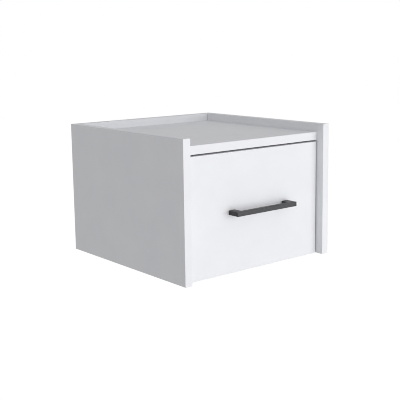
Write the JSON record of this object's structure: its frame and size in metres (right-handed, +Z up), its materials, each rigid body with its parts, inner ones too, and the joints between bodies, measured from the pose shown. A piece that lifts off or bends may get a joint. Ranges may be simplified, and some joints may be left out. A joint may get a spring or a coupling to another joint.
{
  "type": "floating nightstand",
  "caption": "Wall-hung bedside cabinet in white board: one drawer on ball-bearing slides with a grey bar handle, under a shallow tray with three raised lips.",
  "frame": {"origin": "middle of the back panel's rear face, which lies flat on the wall", "axes": "+X right as seen from the front, +Y back into the wall, +Z up"},
  "size_m": [0.34, 0.3585, 0.245],
  "materials": {
    "white_lacquer": "white satin lacquer on fibreboard",
    "white_hardboard": "white painted hardboard",
    "grey_powder_coat": "matt grey powder coat on zinc",
    "zinc_plate": "bright zinc plate on steel",
    "zinc_casting": "bare zinc die casting"
  },
  "bodies": {
    "case": {"left_side_panel": "white_lacquer", "right_side_panel": "white_lacquer", "top_panel": "white_lacquer", "bottom_panel": "white_lacquer", "back_panel": "white_lacquer", "top_left_front_cam": "zinc_casting", "top_left_front_cam_bolt": "zinc_plate", "top_left_rear_cam": "zinc_casting", "top_left_rear_cam_bolt": "zinc_plate", "top_right_front_cam": "zinc_casting", "top_right_front_cam_bolt": "zinc_plate", "top_right_rear_cam": "zinc_casting", "top_right_rear_cam_bolt": "zinc_plate", "bottom_left_front_cam": "zinc_casting", "bottom_left_front_cam_bolt": "zinc_plate", "bottom_left_rear_cam": "zinc_casting", "bottom_left_rear_cam_bolt": "zinc_plate", "bottom_right_front_cam": "zinc_casting", "bottom_right_front_cam_bolt": "zinc_plate", "bottom_right_rear_cam": "zinc_casting", "bottom_right_rear_cam_bolt": "zinc_plate", "back_left_upper_cam": "zinc_casting", "back_left_upper_cam_bolt": "zinc_plate", "back_left_lower_cam": "zinc_casting", "back_left_lower_cam_bolt": "zinc_plate", "back_right_upper_cam": "zinc_casting", "back_right_upper_cam_bolt": "zinc_plate", "back_right_lower_cam": "zinc_casting", "back_right_lower_cam_bolt": "zinc_plate", "left_cabinet_rail": "zinc_plate", "right_cabinet_rail": "zinc_plate"},
    "drawer": {"drawer_front": "white_lacquer", "drawer_left_side": "white_lacquer", "drawer_right_side": "white_lacquer", "drawer_back": "white_lacquer", "drawer_bottom": "white_hardboard", "handle": "grey_powder_coat", "left_handle_screw": "zinc_plate", "right_handle_screw": "zinc_plate", "left_lower_box_screw": "zinc_plate", "left_upper_box_screw": "zinc_plate", "right_lower_box_screw": "zinc_plate", "right_upper_box_screw": "zinc_plate", "drawer_left_lower_cam": "zinc_casting", "drawer_left_lower_cam_bolt": "zinc_plate", "drawer_left_upper_cam": "zinc_casting", "drawer_left_upper_cam_bolt": "zinc_plate", "drawer_right_lower_cam": "zinc_casting", "drawer_right_lower_cam_bolt": "zinc_plate", "drawer_right_upper_cam": "zinc_casting", "drawer_right_upper_cam_bolt": "zinc_plate", "left_drawer_rail": "zinc_plate", "right_drawer_rail": "zinc_plate"},
    "left_middle": {"left_middle_rail": "zinc_plate"},
    "right_middle": {"right_middle_rail": "zinc_plate"},
    "left_outer_balls": {"left_outer_ball_cage": "zinc_plate"},
    "right_outer_balls": {"right_outer_ball_cage": "zinc_plate"},
    "left_inner_balls": {"left_inner_ball_cage": "zinc_plate"},
    "right_inner_balls": {"right_inner_ball_cage": "zinc_plate"}
  },
  "joints": [
    {"name": "drawer_slide", "type": "slide", "parent": "case", "child": "drawer", "axis": [0, -1, 0], "range_m": [0, 0.3]},
    {"name": "left_middle_slide", "type": "slide", "parent": "case", "child": "left_middle", "axis": [0, -1, 0], "range_m": [0, 0.15]},
    {"name": "right_middle_slide", "type": "slide", "parent": "case", "child": "right_middle", "axis": [0, -1, 0], "range_m": [0, 0.15]},
    {"name": "left_outer_balls_slide", "type": "slide", "parent": "case", "child": "left_outer_balls", "axis": [0, -1, 0], "range_m": [0, 0.075]},
    {"name": "right_outer_balls_slide", "type": "slide", "parent": "case", "child": "right_outer_balls", "axis": [0, -1, 0], "range_m": [0, 0.075]},
    {"name": "left_inner_balls_slide", "type": "slide", "parent": "case", "child": "left_inner_balls", "axis": [0, -1, 0], "range_m": [0, 0.225]},
    {"name": "right_inner_balls_slide", "type": "slide", "parent": "case", "child": "right_inner_balls", "axis": [0, -1, 0], "range_m": [0, 0.225]}
  ],
  "couplings": [
    {"joint": "left_middle_slide", "follows": "drawer_slide", "ratio": 0.5},
    {"joint": "right_middle_slide", "follows": "drawer_slide", "ratio": 0.5},
    {"joint": "left_outer_balls_slide", "follows": "drawer_slide", "ratio": 0.25},
    {"joint": "right_outer_balls_slide", "follows": "drawer_slide", "ratio": 0.25},
    {"joint": "left_inner_balls_slide", "follows": "drawer_slide", "ratio": 0.75},
    {"joint": "right_inner_balls_slide", "follows": "drawer_slide", "ratio": 0.75}
  ]
}
